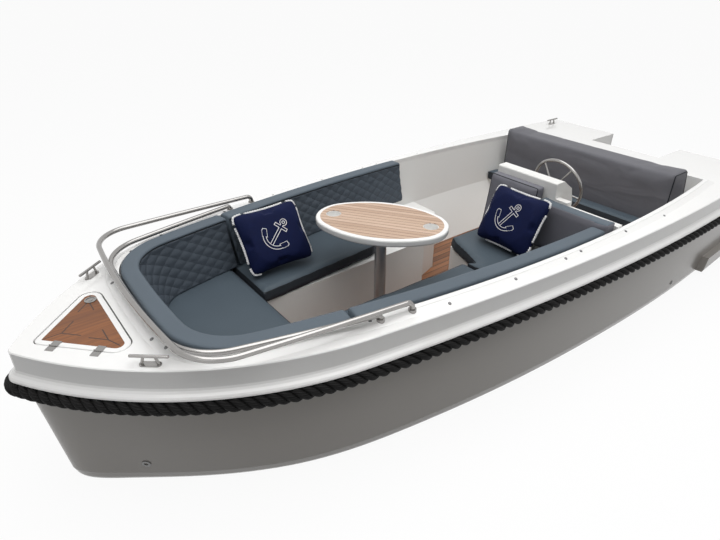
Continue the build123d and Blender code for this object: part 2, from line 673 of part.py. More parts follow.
# ---- guard rails: two stainless tubes round the front of the cockpit ---------------------------------
rail_radius = 12.5
flange_rise, flange_half, foot_level = 4.0, 19.0, 6.0     # foot flange, and where the tube ends in the step
rails = {                         # front x, height above the sheer, slope, plan arcs, end bend
    "upper_rail": (1925.0, 93.0, 2.1, ((4700.0, 5.85), (200.0, 78.0), (30000.0, 1.4)), 32.0),
    "lower_rail": (1905.0, 46.0, 0.4, ((4700.0, 4.15), (250.0, 71.0), (12000.0, 2.8)), 20.0),
}
for name, (front, lift, slope, arcs, bend) in rails.items():
    tilt = math.radians(sheer_angle + slope)
    front_point = sheer.from_local_coords((front, 0, lift))
    rail_plane = Plane(
        origin=front_point - Vector(front * math.cos(tilt), 0, front * math.sin(tilt)),
        x_dir=(math.cos(tilt), 0, math.sin(tilt)), z_dir=(-math.sin(tilt), 0, math.cos(tilt)),
    )
    with BuildLine(mode=Mode.PRIVATE) as flat:
        arc_chain(front, arcs)
    foot = flat.line @ 1 + flat.line % 1 * bend
    foot_lift = lift - (front - foot.X) * math.tan(math.radians(slope))
    flange_top = rail_plane.from_local_coords((foot.X, foot.Y, coaming_height + flange_rise - foot_lift))
    with BuildPart() as rail:
        with BuildSketch(Plane(origin=flange_top, z_dir=sheer.z_dir)):
            Circle(flange_half)
        extrude(amount=foot_level - coaming_height - flange_rise)
        mirror(about=Plane.XZ)
        add(tube(rail_plane, front, arcs, rail_radius, bend=bend, drop=foot_lift - foot_level))
        add(deck.part, mode=Mode.SUBTRACT)
    finish(rail.part, name)

# ---- fittings on the hull ------------------------------------------------------------------------------


def hull_point(x, z):
    """Point and outward direction on the port side of the hull."""
    hits = hull_form.find_intersection_points(Axis((x, 3000, z), (0, -1, 0)))
    point, normal = max(hits, key=lambda hit: hit[0].Y)
    return point, normal if normal.Y > 0 else normal * -1


skin_spots = ((2062.0, 135.0, 20.0), (-1330.0, 110.0, 14.0))    # x, z and radius of each drain
skin_proud = 4.0
with BuildPart() as skin_fittings:
    for x, z, radius in skin_spots:
        point, normal = hull_point(x, z)
        with BuildSketch(Plane(origin=point - normal * 6, z_dir=normal)):
            Circle(radius)
            Circle(radius * 0.45, mode=Mode.SUBTRACT)
        extrude(amount=6 + skin_proud)
    add(hull_form, mode=Mode.SUBTRACT)
finish(skin_fittings.part, "skin_fittings")

vent_x, vent_drop, vent_length, vent_height = 1540.0, 215.0, 190.0, 40.0
point, normal = hull_point(vent_x, sheer_height(vent_x) - vent_drop)
with BuildPart() as side_vents:
    with BuildSketch(Plane(origin=point - normal * 8, x_dir=normal.cross(Vector(0, 0, 1)), z_dir=normal)):
        Ellipse(vent_length / 2, vent_height / 2)
    extrude(amount=12)
    mirror(about=Plane.XZ)
    add(hull_form, mode=Mode.SUBTRACT)
finish(side_vents.part, "side_vents")

sponson_front, sponson_top, sponson_bottom, sponson_proud = -1700.0, 155.0, 35.0, 45.0
sponson_plan = ((sponson_front, 0), (sponson_front - 130, 1200), (stern_x, 1200), (stern_x, 0))
with BuildPart() as sponsons:
    add(slab(sponson_plan, sponson_bottom, sponson_top))
    add(hull_solid(-sponson_proud), mode=Mode.INTERSECT)
    mirror(about=Plane.XZ)
    add(hull_form, mode=Mode.SUBTRACT)
finish(sponsons.part, "sponsons")

keel_half, keel_in, skeg_z, skeg_end = 22.0, keel_z + 30, -170.0, -2330.0
keel_profile = (
    (1950, keel_in), (skeg_end, keel_in), (skeg_end, skeg_z), (-1400, skeg_z), (1500, keel_z - 22),
)
with BuildPart() as keel:
    with BuildSketch(Plane.XZ.offset(-keel_half)):
        Polygon(*keel_profile, align=None)
    extrude(amount=2 * keel_half)
    add(hull_form, mode=Mode.SUBTRACT)
finish(keel.part, "keel")

# ---- motor well and transom pad for an outboard -------------------------------------------------------
well_wall = 10.0
with BuildPart() as motor_well:
    add(well_box(well_wall, well_sill - well_wall, well_top))
    split(bisect_by=sheer.offset(-deck_plate), keep=Keep.BOTTOM)
    add(well_box(0, well_sill, well_top), mode=Mode.SUBTRACT)
    add(box_between((stern_x - 100, -400, 0), (stern_x + hull_skin + 1, 400, well_top)), mode=Mode.SUBTRACT)
finish(motor_well.part, "motor_well")

pad_thick, pad_half, pad_low = 18.0, 170.0, 60.0
with BuildPart() as transom_pad:
    add(box_between((stern_x - pad_thick, -pad_half, pad_low), (stern_x, pad_half, well_sill)))
    fillet(transom_pad.edges().filter_by(Axis.X), 20)
finish(transom_pad.part, "transom_pad")

# ---- scatter pillows: plain closed forms, one on each side ---------------------------------------------
pillow_width, pillow_height, pillow_thick = 390.0, 370.0, 100.0
pillow_planes = {
    "starboard_pillow": Plane(origin=(1000, -411, 647)).rotated((35, 0, -4)),
    "port_pillow": Plane(origin=(-284, 282, 649)).rotated((0, 0, 90)).rotated((0, -30, 0)),
}
for name, plane in pillow_planes.items():
    with BuildPart() as pillow:
        with BuildSketch(plane.offset(-pillow_height / 2)):
            RectangleRounded(pillow_width, pillow_thick, 45)
        extrude(amount=pillow_height)
    finish(pillow.part, name)
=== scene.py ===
"""Looks of the open tender boat, piece by piece in the order it is put together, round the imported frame."""
import math
import bmesh
import bpy
import numpy as np
from mathutils import Matrix, Vector
from mathutils.bvhtree import BVHTree


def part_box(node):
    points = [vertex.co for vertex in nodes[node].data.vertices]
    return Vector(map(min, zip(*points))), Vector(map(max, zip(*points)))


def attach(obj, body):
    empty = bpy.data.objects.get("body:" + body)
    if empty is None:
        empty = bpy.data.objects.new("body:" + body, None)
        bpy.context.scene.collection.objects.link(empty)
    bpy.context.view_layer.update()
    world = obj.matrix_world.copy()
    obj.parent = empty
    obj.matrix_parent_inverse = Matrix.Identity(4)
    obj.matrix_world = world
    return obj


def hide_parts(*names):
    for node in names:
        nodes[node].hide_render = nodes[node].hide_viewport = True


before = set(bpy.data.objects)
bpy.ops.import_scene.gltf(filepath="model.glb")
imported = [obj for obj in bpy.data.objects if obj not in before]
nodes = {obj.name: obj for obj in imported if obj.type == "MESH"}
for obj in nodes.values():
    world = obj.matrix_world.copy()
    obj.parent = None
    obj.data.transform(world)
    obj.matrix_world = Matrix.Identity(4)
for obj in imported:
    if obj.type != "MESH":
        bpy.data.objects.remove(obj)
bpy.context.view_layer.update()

# ---- Camera, floor and light ---------------------------------------------------------------------
# The view is from just off the port bow, above head height, looking aft and down into the cockpit.
# The boat floats: the floor lies at its waterline, pale and plain, under a soft overhead light.
view_place = Vector((2.30, 2.0976, 2.056))
view_heading, view_down, view_roll = math.radians(142.37), math.radians(30.366), math.radians(0.1256)
camera = bpy.data.objects.new("view", bpy.data.cameras.new("view"))
camera.data.sensor_width = 36.0
camera.data.lens = 26.86
camera.data.clip_end = 200.0
camera.matrix_world = (
    Matrix.Translation(view_place)
    @ Matrix.Rotation(view_heading, 4, "Z")
    @ Matrix.Rotation(math.pi / 2 - view_down, 4, "X")
    @ Matrix.Rotation(view_roll, 4, "Z")
)
scene = bpy.context.scene
scene.collection.objects.link(camera)
scene.camera = camera
scene.view_settings.view_transform = "Standard"


class Wire:
    """One socket of a node tree. Arithmetic on it adds Math nodes, and node() adds any other kind."""

    def __init__(self, tree, socket=None):
        self.tree, self.socket = tree, socket

    def node(self, kind, settings=None, inputs=None, output=0):
        """Add a node, its settings first, then the value or link of each input. Gives the chosen output."""
        made = self.tree.nodes.new("ShaderNode" + kind)
        for key, value in (settings or {}).items():
            if key != "stops":
                setattr(made, key, value)
                continue
            while len(made.color_ramp.elements) < len(value):
                made.color_ramp.elements.new(1.0)
            for stop, (place, colour) in zip(made.color_ramp.elements, value):
                stop.position, stop.color = place, (*colour, 1.0)
        for key, value in (inputs or {}).items():
            socket = made.inputs[key]
            if isinstance(value, Wire):
                self.tree.links.new(value.socket, socket)
            else:
                socket.default_value = (*value, 1.0) if socket.type == "RGBA" else value
        return Wire(self.tree, made.outputs[output])

    def math(self, operation, *values):
        return self.node("Math", {"operation": operation}, dict(enumerate(values)))

    def __add__(self, other):
        return self.math("ADD", self, other)

    def __sub__(self, other):
        return self.math("SUBTRACT", self, other)

    def __rsub__(self, other):
        return self.math("SUBTRACT", other, self)

    def __mul__(self, other):
        return self.math("MULTIPLY", self, other)

    def __truediv__(self, other):
        return self.math("DIVIDE", self, other)

    def __pow__(self, other):
        return self.math("POWER", self, other)

    def __lt__(self, other):
        return self.math("LESS_THAN", self, other)

    def __gt__(self, other):
        return self.math("GREATER_THAN", self, other)

    def __abs__(self):
        return self.math("ABSOLUTE", self)

    def axis(self, name):
        """One coordinate of this place: X, Y or Z."""
        return self.node("SeparateXYZ", {}, {0: self}, output=name)

    def noise(self, scale, detail, **more):
        """Soft noise at this place, so many cells to a metre."""
        return self.node("TexNoise", {}, {"Vector": self, "Scale": scale, "Detail": detail, **more})

    def mix(self, low, high):
        """Colour low where this value is 0 and high where it is 1."""
        return self.node("Mix", {"data_type": "RGBA"}, {0: self, 6: low, 7: high}, output=2)

    def feed(self, name):
        """Lead this value into an input of the material's main shader."""
        self.tree.links.new(self.socket, self.tree.nodes["Principled BSDF"].inputs[name])

    def emboss(self, strength):
        """Take this value as the height of the surface's relief, in metres."""
        self.node("Bump", {}, {"Height": self, "Distance": 1.0, "Strength": strength}).feed("Normal")


def new_material(name, inputs=None):
    """A material with some inputs of its main shader set, and a wire into its node tree."""
    material = bpy.data.materials.new(name)
    material.use_nodes = True
    for key, value in (inputs or {}).items():
        material.node_tree.nodes["Principled BSDF"].inputs[key].default_value = value
    return material, Wire(material.node_tree)


def background_rays(wire):
    """1 for the rays that show the white background: from the camera, from metal and through glass."""
    seen = [wire.node("LightPath", output=f"Is {kind} Ray") for kind in ("Camera", "Glossy", "Transmission")]
    return wire.math("MAXIMUM", wire.math("MAXIMUM", seen[0], seen[1]), seen[2])


world = bpy.data.worlds.new("studio")
world.use_nodes = True
scene.world = world
sky = Wire(world.node_tree)
sky_up = sky.node("TexCoord", output="Generated").axis("Z")
zenith, horizon = 0.60, 0.12
sky_level = sky.node("Clamp", {}, {0: sky_up * (zenith - horizon) + horizon, 1: horizon, 2: zenith})
background = world.node_tree.nodes["Background"]
background.inputs["Color"].default_value = (1.0, 1.0, 1.0, 1.0)
shown = background_rays(sky)
world.node_tree.links.new((shown * (1.0 - sky_level) + sky_level).socket, background.inputs["Strength"])

floor_material, floor_wire = new_material("studio_floor")
floor_seen = background_rays(floor_wire)
floor_tone = floor_seen.mix((0.14, 0.14, 0.14), (0.90, 0.90, 0.90))
floor_shade = floor_wire.node("BsdfDiffuse", {}, {"Color": floor_tone})
floor_glow = floor_wire.node("Emission", {}, {"Color": (1.0, 1.0, 1.0), "Strength": 1.0})
floor_mixed = floor_wire.node("MixShader", {}, {0: floor_seen * 0.93, 1: floor_shade, 2: floor_glow})
floor_material.node_tree.links.new(
    floor_mixed.socket, floor_material.node_tree.nodes["Material Output"].inputs["Surface"]
)
floor_half = 60.0
floor_mesh = bpy.data.meshes.new("studio_floor")
floor_corners = [(x * floor_half, y * floor_half, 0) for x, y in ((-1, -1), (1, -1), (1, 1), (-1, 1))]
floor_mesh.from_pydata(floor_corners, [], [(0, 1, 2, 3)])
floor_mesh.materials.append(floor_material)
floor = bpy.data.objects.new("studio_floor", floor_mesh)
scene.collection.objects.link(floor)

for lamp_name, lamp_place, lamp_size, lamp_watts in (
    ("overhead", (0.4, 0.6, 5.2), 6.0, 260.0),
    ("bow_side", (6.0, 3.2, 3.0), 3.0, 10.0),
):
    lamp = bpy.data.objects.new(lamp_name, bpy.data.lights.new(lamp_name, "AREA"))
    lamp.data.size, lamp.data.energy = lamp_size, lamp_watts
    lamp.location = lamp_place
    lamp.rotation_euler = (-Vector(lamp_place)).to_track_quat("-Z", "Y").to_euler()
    scene.collection.objects.link(lamp)


# ---- Hull, keel and quarter pads ------------------------------------------------------------------
# The hull is a glass laminate with a warm grey gelcoat, laid up in a mould: glossy, very slightly wavy,
# with a keel strip below and a spray pad moulded on each quarter.
def gelcoat(name, colour, roughness, grip=0.0, coat=0.3, gloss=0.5):
    """Gelcoat: faint waviness, soft changes of tint and gloss, and a fine non-slip grain where grip is
    above 0."""
    material, wire = new_material(
        name, {"Coat Weight": coat, "Specular IOR Level": gloss, "Coat Roughness": 0.05}
    )
    place = wire.node("TexCoord", output="Object")
    cloud = place.noise(1.6, 4.0)
    scuff = place.noise(38.0, 6.0, Roughness=0.7)
    soiled = tuple(value * tone for value, tone in zip(colour, (0.93, 0.92, 0.89)))
    (cloud * 0.7 + scuff * 0.3).mix(soiled, colour).feed("Base Color")
    (scuff * 0.10 + (roughness - 0.05)).feed("Roughness")
    wave = place.noise(5.0, 1.0)
    grain = place.noise(900.0, 2.0)
    height = wave * 0.0015 + grain * (0.00002 + grip * 0.0004)
    height.emboss(0.35)
    return material


def dress(material, *names):
    """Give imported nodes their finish."""
    for name in names:
        nodes[name].data.materials.clear()
        nodes[name].data.materials.append(material)


hull_grey = (0.44, 0.415, 0.39)
dress(gelcoat("hull_gelcoat", hull_grey, 0.22, coat=0.08, gloss=0.28), "hull", "keel", "sponsons")

# ---- Deck moulding, anchor bin and motor well -------------------------------------------------------
# One white moulding makes the side band, the rubbing bead, the foredeck and the raised step round the
# cockpit. The anchor bin and the motor well are bonded under it.
deck_white = (0.86, 0.86, 0.86)
deck_finish = gelcoat("deck_gelcoat", deck_white, 0.16)
dress(deck_finish, "deck", "anchor_locker", "motor_well", "locker_lid", "table_top")

# ---- Cockpit liner, bench bases, console and bulkhead ----------------------------------------------
# The liner and the benches are white laminate with a fine non-slip grain. The console stands on it.
liner_finish = gelcoat("liner_gelcoat", (0.80, 0.80, 0.79), 0.30, grip=1.0)
dress(liner_finish, "liner", "bench_bases", "helm_bench_base", "helm_bulkhead", "console")

# ---- Rope fender -----------------------------------------------------------------------------------
# A thick black three-strand rope runs round the sheer under the bead. It is laid right-handed from
# worn polyester yarns, and each strand shows the fine slant of its own yarns.
deck_tip_x = 2.381
deck_arcs = ((0.045, 33.15), (1.685, 47.93), (15.45, 13.3))
sheer_tilt = math.atan(0.0135)
sheer_amidships = 0.7176


def step_lengths(points):
    """Length of each step of a path."""
    return np.linalg.norm(np.diff(points, axis=0), axis=1)


def plan_path(front_x, arcs, inset, step):
    """Points and outward directions in plan along tangent arcs, from the port end round the bow to the
    starboard end: on each arc a point is centre + radius * direction, and the direction turns evenly."""
    x, y, heading = front_x, 0.0, math.pi / 2
    points, outward = [], []
    for radius, turn in arcs:
        turn = math.radians(turn)
        angle = heading + np.linspace(0.0, turn, max(int(radius * turn / step), 6))
        out = np.stack([np.sin(angle), -np.cos(angle)], axis=1)
        centre = np.array([x, y]) - radius * np.array([math.sin(heading), -math.cos(heading)])
        points.append(centre + (radius - inset) * out)
        outward.append(out)
        x, y = centre + radius * out[-1]
        heading += turn
    points, outward = np.concatenate(points)[::-1], np.concatenate(outward)[::-1]
    keep = np.append(step_lengths(points) > 1e-6, True)
    points, outward = points[keep], outward[keep]
    mirror = np.array([1.0, -1.0])
    points = np.concatenate([points, points[-2::-1] * mirror])
    outward = np.concatenate([outward, outward[-2::-1] * mirror])
    return points, outward


def on_sheer(x, y, height):
    """Points a given height above the tilted sheer plane."""
    return np.stack([
        x * math.cos(sheer_tilt) - height * math.sin(sheer_tilt), y,
        sheer_amidships + x * math.sin(sheer_tilt) + height * math.cos(sheer_tilt),
    ], axis=-1)


def even_steps(points, count):
    """The same path in equal steps of its length, by linear interpolation, and the length run at each."""
    run = np.append(0.0, np.cumsum(step_lengths(points)))
    wanted = np.linspace(0.0, run[-1], count)
    return np.stack([np.interp(wanted, run, points[:, k]) for k in range(points.shape[1])], axis=1), wanted


def listed(items, key, width, kind=np.float32):
    """One property of every item of a mesh, as rows of so many numbers."""
    values = np.empty(len(items) * width, kind)
    items.foreach_get(key, values)
    return values.reshape(-1, width)


def unit(vectors):
    """Each row scaled to a length of 1."""
    return vectors / np.linalg.norm(vectors, axis=1, keepdims=True)


def surface(name, grids, material, closed_rows=False, uv=None, caps=False):
    """One piece from grids of points, each row a closed ring: neighbours are joined by quads, closed rows
    join the last ring to the first, and caps close both end rings with a fan to the middle."""
    corners, faces, start, layers = [], [], 0, []
    for index, grid in enumerate(grids):
        rows, columns = grid.shape[:2]
        numbers = start + np.arange(rows * columns).reshape(rows, columns)
        if closed_rows:
            numbers = np.concatenate([numbers, numbers[:1]])
        numbers = np.concatenate([numbers, numbers[:, :1]], axis=1)
        quads = np.stack([numbers[:-1, :-1], numbers[:-1, 1:], numbers[1:, 1:], numbers[1:, :-1]], axis=-1)
        faces.append(quads.reshape(-1, 4))
        corners.append(grid.reshape(-1, 3))
        if uv is not None:
            layers.append(uv[index].reshape(-1, 2))
        start += rows * columns
    fans = []
    if caps:
        total, start, middles = start, 0, []
        for grid in grids:
            rows, columns = grid.shape[:2]
            ring = start + np.arange(columns)
            for end_ring, back in ((ring, True), (ring + (rows - 1) * columns, False)):
                middle = total + len(middles)
                middles.append(np.concatenate(corners)[end_ring].mean(axis=0))
                turned = np.roll(end_ring, -1)
                pair = (turned, end_ring) if back else (end_ring, turned)
                fans += np.stack([pair[0], pair[1], np.full(columns, middle)], axis=-1).tolist()
            start += rows * columns
        corners.append(np.array(middles))
        if uv is not None:
            layers.append(np.zeros((len(middles), 2)))
    mesh = bpy.data.meshes.new(name)
    mesh.from_pydata(np.concatenate(corners).tolist(), [], np.concatenate(faces).tolist() + fans)
    if uv is not None:
        layer = mesh.uv_layers.new(name="along").data
        loops = listed(mesh.loops, "vertex_index", 1, np.int32).ravel()
        layer.foreach_set("uv", np.concatenate(layers)[loops].ravel().astype(np.float32))
    mesh.polygons.foreach_set("use_smooth", np.ones(len(mesh.polygons), bool))
    mesh.materials.append(material)
    piece = bpy.data.objects.new(name, mesh)
    scene.collection.objects.link(piece)
    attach(piece, "boat")
    return piece


def tube_grid(path, radius, sides):
    """Round tube: circles of the radius square to the path, turned to the up direction."""
    along = unit(np.gradient(path, axis=0))
    side = unit(np.cross(along, np.array([0.0, 0.0, 1.0])))
    up = np.cross(side, along)
    angle = np.linspace(0.0, 2 * math.pi, sides, endpoint=False)[None, :, None]
    return path[:, None] + radius * (np.cos(angle) * side[:, None] + np.sin(angle) * up[:, None])


rope_material, rope_wire = new_material("fender_rope", {"Specular IOR Level": 0.12})
rope_uv = rope_wire.node("UVMap", {"uv_map": "along"})
rope_run = rope_uv.axis("X")
rope_round = rope_uv.axis("Y")
yarn_slant, yarn_count = 300.0, 9.0
yarn = rope_wire.math("SINE", rope_run * yarn_slant - rope_round * (yarn_count * 2 * math.pi))
rope_place = rope_wire.node("TexCoord", output="Object")
fuzz = rope_place.noise(700.0, 4.0)
weather = rope_place.noise(9.0, 3.0)
# The rope's tone is partly painted light. The yarn term darkens the grooves between the yarns and lightens
# their crests, as painted shade and highlight. The fuzz term adds small painted highlights on the loose
# fibres, and the weather term is real wear.
rope_black, rope_worn_and_highlit = (0.004, 0.004, 0.004), (0.022, 0.021, 0.021)
rope_wear_and_painted_light = (yarn * 0.25 + fuzz * 0.6 + weather * 0.4) * 0.7
rope_tone = rope_wire.node("ValToRGB", {"stops": [(0.2, rope_black), (0.75, rope_worn_and_highlit)]}, {0: rope_wear_and_painted_light})
rope_tone.feed("Base Color")
(fuzz * 0.3 + 0.5).feed("Roughness")
(yarn * 0.0006 + fuzz * 0.0008).emboss(0.9)
rope_drop, rope_out, rope_lay = 0.157, 0.023, 0.162
strand_ring, strand_radius, strand_sides = 0.0172, 0.0146, 14
rope_plan, rope_outward = plan_path(deck_tip_x, deck_arcs, -rope_out, 0.02)
rope_all, rope_lengths = even_steps(np.concatenate([rope_plan, rope_outward], axis=1), 1300)
rope_centre = on_sheer(rope_all[:, 0], rope_all[:, 1], -rope_drop)
rope_side = on_sheer(rope_all[:, 2], rope_all[:, 3], 0.0) - on_sheer(np.zeros(1), np.zeros(1), 0.0)
rope_top = np.array([-math.sin(sheer_tilt), 0.0, math.cos(sheer_tilt)])
strands, strand_uv = [], []
for strand in range(3):
    twist = 2 * math.pi * (rope_lengths / rope_lay + strand / 3)
    wound = np.cos(twist)[:, None] * rope_side + np.sin(twist)[:, None] * rope_top
    strands.append(tube_grid(rope_centre + strand_ring * wound, strand_radius, strand_sides))
    around = np.linspace(0.0, 1.0, strand_sides, endpoint=False)
    strand_uv.append(np.stack(np.broadcast_arrays(rope_lengths[:, None], around[None, :]), axis=-1))
rope_piece = surface("rope_strands", strands, rope_material, uv=strand_uv, caps=True)
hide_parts("rope_fender")

# ---- Teak: sole planking, locker lid inlay and table inlay ------------------------------------------
# Straight-grained, oiled teak. The dark planks of the sole run fore and aft with black caulking between
# them, and the table has narrow pale strips. The lid's inlay is one board with a forked groove cut near
# each corner.
lid_corners = ((2.300, 0.0), (1.985, 0.330), (1.985, -0.330))
groove_half, groove_stem, groove_branch = 0.0028, 0.070, 0.085
groove_starts = (0.038, 0.118, 0.090)


def lid_grooves(wire, x, y):
    """1 inside the forked grooves cut near the lid's corners: a stem along the line that halves the corner,
    then two branches, one parallel to each edge. Each is a long thin box, the largest of two distances."""
    deepest = None
    for index, corner in enumerate(lid_corners):
        edges = [Vector(other) - Vector(corner) for other in lid_corners if other != corner]
        half_angle = edges[0].angle(edges[1]) / 2
        inward = (edges[0].normalized() + edges[1].normalized()).normalized()
        along = (x - corner[0]) * inward.x + (y - corner[1]) * inward.y
        across = abs((x - corner[0]) * inward.y - (y - corner[1]) * inward.x)
        fork = groove_starts[index] + groove_stem
        past = along - fork
        lean_in, lean_out = math.cos(half_angle), math.sin(half_angle)
        stem = wire.math("MAXIMUM", across, abs(past + groove_stem / 2) - (groove_stem / 2 - groove_half))
        branch_run = across * lean_out + past * lean_in
        branch = wire.math(
            "MAXIMUM", abs(across * lean_in - past * lean_out),
            abs(branch_run - groove_branch / 2) - (groove_branch / 2 - groove_half),
        )
        nearest = wire.math("MINIMUM", stem, branch)
        deepest = nearest if deepest is None else wire.math("MINIMUM", deepest, nearest)
    return deepest < groove_half


def teak(name, turn, plank, caulk, tones, caulk_tone=(0.012, 0.011, 0.010), carved=None):
    """Planks along the turned x axis: a caulk line at each edge, a tint for each plank, long grain along
    it. Carved gives the grooves that are cut into the wood."""
    material, wire = new_material(name)
    object_place = wire.node("TexCoord", output="Object")
    place = wire.node("Mapping", {}, {"Vector": object_place, "Rotation": (0, 0, math.radians(turn))})
    across = place.axis("Y") / plank + 100.0
    edge = abs(wire.math("FRACT", across) - 0.5)
    seam = edge > 0.5 - caulk / plank / 2
    if carved:
        grooves = carved(wire, object_place.axis("X"), object_place.axis("Y"))
        seam = wire.math("MAXIMUM", seam, grooves)
    tint = wire.node("TexWhiteNoise", {"noise_dimensions": "1D"}, {"W": wire.math("FLOOR", across)})
    stretched = wire.node("Mapping", {}, {"Vector": place, "Scale": (3.0, 90.0, 40.0)})
    grain = stretched.noise(1.0, 6.0, Roughness=0.65)
    pores = stretched.noise(6.0, 3.0)
    shade = grain * 0.75 + tint * 0.35 - 0.1
    wood = wire.node("ValToRGB", {"stops": list(zip((0.25, 0.5, 0.8), tones))}, {0: shade})
    seam.mix(wood, caulk_tone).feed("Base Color")
    (grain * 0.2 + 0.38).feed("Roughness")
    relief = (1 - seam) * 0.0008 + pores * 0.0002
    relief.emboss(0.6)
    return material


dark_teak = ((0.13, 0.050, 0.020), (0.25, 0.105, 0.045), (0.38, 0.175, 0.080))
lid_teak = ((0.13, 0.042, 0.010), (0.25, 0.086, 0.022), (0.36, 0.140, 0.040))
pale_teak = ((0.38, 0.25, 0.17), (0.52, 0.37, 0.27), (0.64, 0.48, 0.38))
dress(teak("sole_teak", 0, 0.048, 0.005, dark_teak), "sole")
dress(teak("lid_teak", 0, 0.5, 0.0, lid_teak, (0.045, 0.020, 0.010), lid_grooves), "locker_inlay")
dress(teak("table_teak", -125, 0.033, 0.0032, pale_teak, (0.12, 0.055, 0.030)), "table_inlay")

# ---- Metal: rails, cleats, hinges, wheel, vents and table pedestal -----------------------------------
# Rails, cleats, hinges and wheel are polished stainless steel with light wipe marks. Vents and skin
# fittings are duller. The table stands on a satin anodised tube.
def metal(name, colour, roughness, streak):
    """Bright metal: roughness changes in fine marks, longest along the axis of least streak, and in soft
    patches."""
    material, wire = new_material(name, {"Metallic": 1.0})
    place = wire.node("TexCoord", output="Object")
    drawn = wire.node("Mapping", {}, {"Vector": place, "Scale": streak})
    lines = drawn.noise(1.0, 4.0)
    patch = place.noise(14.0, 3.0)
    dulled = tuple(value * 0.82 for value in colour)
    patch.mix(dulled, colour).feed("Base Color")
    (lines * 0.14 + patch * 0.10 + roughness).feed("Roughness")
    return material


steel = metal("stainless", (0.36, 0.35, 0.34), 0.06, (60.0, 60.0, 60.0))
dull_steel = metal("dull_steel", (0.18, 0.18, 0.18), 0.20, (60.0, 60.0, 60.0))
dress(
    steel, "locker_latch", "deck_hinges", "lid_hinges", "bow_cleats", "stern_cleats", "upper_rail",
    "lower_rail", "steering_wheel",
)
dress(dull_steel, "skin_fittings", "side_vents")
dress(metal("anodised", (0.58, 0.58, 0.59), 0.30, (200.0, 200.0, 2.0)), "table_post", "table_socket")
dress(gelcoat("black_plastic", (0.02, 0.02, 0.02), 0.45), "steering_boss", "transom_pad")

# ---- Press studs -----------------------------------------------------------------------------------
# Small steel studs along the slope of the raised step hold the weather cover down, eleven a side.
stud_places = (
    (1.920, 0.264), (1.895, 0.354), (1.756, 0.507), (1.570, 0.600), (1.161, 0.689), (0.784, 0.780),
    (0.380, 0.821), (0.012, 0.845), (-0.119, 0.846), (-0.541, 0.858), (-0.959, 0.873),
)
stud_radius, stud_height, stud_sides = 0.0085, 0.0045, 14


def search_tree(mesh):
    """Tree of a mesh's faces, for casting rays and finding the nearest place."""
    faces = [tuple(face.vertices) for face in mesh.polygons]
    return BVHTree.FromPolygons([vertex.co for vertex in mesh.vertices], faces)


deck_tree = search_tree(nodes["deck"].data)
above_deck = 2.0
dome_angle = np.linspace(0.0, math.radians(84), 6)[:, None]
round_angle = np.linspace(0.0, 2 * math.pi, stud_sides, endpoint=False)[None, :]
dome = np.stack(np.broadcast_arrays(
    stud_radius * np.cos(dome_angle) * np.cos(round_angle),
    stud_radius * np.cos(dome_angle) * np.sin(round_angle),
    stud_height * np.sin(dome_angle),
), axis=-1)
studs = []
for stud_x, stud_y in [(x, y * way) for x, y in stud_places for way in (1, -1)]:
    seat, slope, _, _ = deck_tree.ray_cast(Vector((stud_x, stud_y, above_deck)), Vector((0, 0, -1)))
    facing = np.array(slope.to_track_quat("Z", "Y").to_matrix())
    studs.append(dome @ facing.T + np.array(seat))
surface("press_studs", studs, dull_steel, caps=True)

# ---- Upholstery ------------------------------------------------------------------------------------
# Foam in slate grey marine vinyl with a fine grain. The ring of backrests is one long padded band, cut
# in three: a smooth roll on top, a sewn seam below it, and a face quilted in diamonds.
def vinyl(name, colour, quilt=None, weave=0.0, slack=0.0):
    """Matt vinyl cloth: fine pebble grain and soft wear. Quilt draws stitched diamonds on the along map,
    pressed in and darkened along the stitch lines as painted shade in the creases, and slack adds long soft
    folds."""
    material, wire = new_material(name, {"Specular IOR Level": 0.22})
    place = wire.node("TexCoord", output="Object")
    pebble = wire.node("TexVoronoi", {}, {"Vector": place, "Scale": 420.0})
    cloud = place.noise(6.0, 5.0)
    speck = place.noise(260.0, 2.0)
    dark = tuple(value * 0.82 for value in colour)
    light = tuple(value * 1.14 for value in colour)
    tone = (cloud * 0.6 + speck * 0.4).mix(dark, light)
    height = pebble * 0.00025 + speck * (0.0006 * weave)
    if slack:
        fold_size, fold_turn = (2.0, 2.6, 7.0), (0.5, 0.0, 0.0)
        folded = wire.node("Mapping", {}, {"Vector": place, "Scale": fold_size, "Rotation": fold_turn})
        folds = folded.noise(1.0, 2.0, Distortion=0.8)
        height = height + folds * slack
    if quilt:
        wide, tall = quilt
        along_map = wire.node("UVMap", {"uv_map": "along"})
        run = along_map.axis("X") / wide
        rise = along_map.axis("Y")
        slants = [abs(wire.math("FRACT", run + rise * (way / tall) + 50.0) - 0.5) for way in (1, -1)]
        stitch = (wire.math("MAXIMUM", *slants) > 0.480) * (rise > 0.0)
        # The stitch lines are drawn at 60% of the cloth's colour: painted shade in the creases of the
        # quilting.
        tone = stitch.mix(tone, tuple(value * 0.60 for value in colour))
        height = height - stitch * 0.0012
    tone.feed("Base Color")
    (cloud * 0.12 + 0.46).feed("Roughness")
    height.emboss(0.5)
    return material


roll_vinyl = vinyl("roll_vinyl", (0.094, 0.118, 0.142))
seat_vinyl = vinyl("seat_vinyl", (0.068, 0.089, 0.108))
boxing_vinyl = vinyl("boxing_vinyl", (0.024, 0.028, 0.034))
welt_vinyl = vinyl("welt_vinyl", (0.014, 0.016, 0.020))
quilt_cell = (0.092, 0.062)
quilt_vinyl = vinyl("quilt_vinyl", (0.074, 0.090, 0.110), quilt=quilt_cell)
opening_front_x = 1.887
opening_arcs = ((4.7, 3.2), (0.339, 71.0), (1.39, 3.2), (9.7, 24.0))
wall_rim_drop, wall_knuckle_z, wall_lean, wall_bow_lean = 0.012, 0.375, 0.062, 0.060
ring_gap, ring_thick, ring_foot_z, ring_rise = 0.006, 0.086, 0.460, 0.034
wall_plan, wall_outward = plan_path(opening_front_x, opening_arcs, 0.0, 0.01)
wall_all, wall_run = even_steps(np.concatenate([wall_plan, wall_outward], axis=1), 1050)


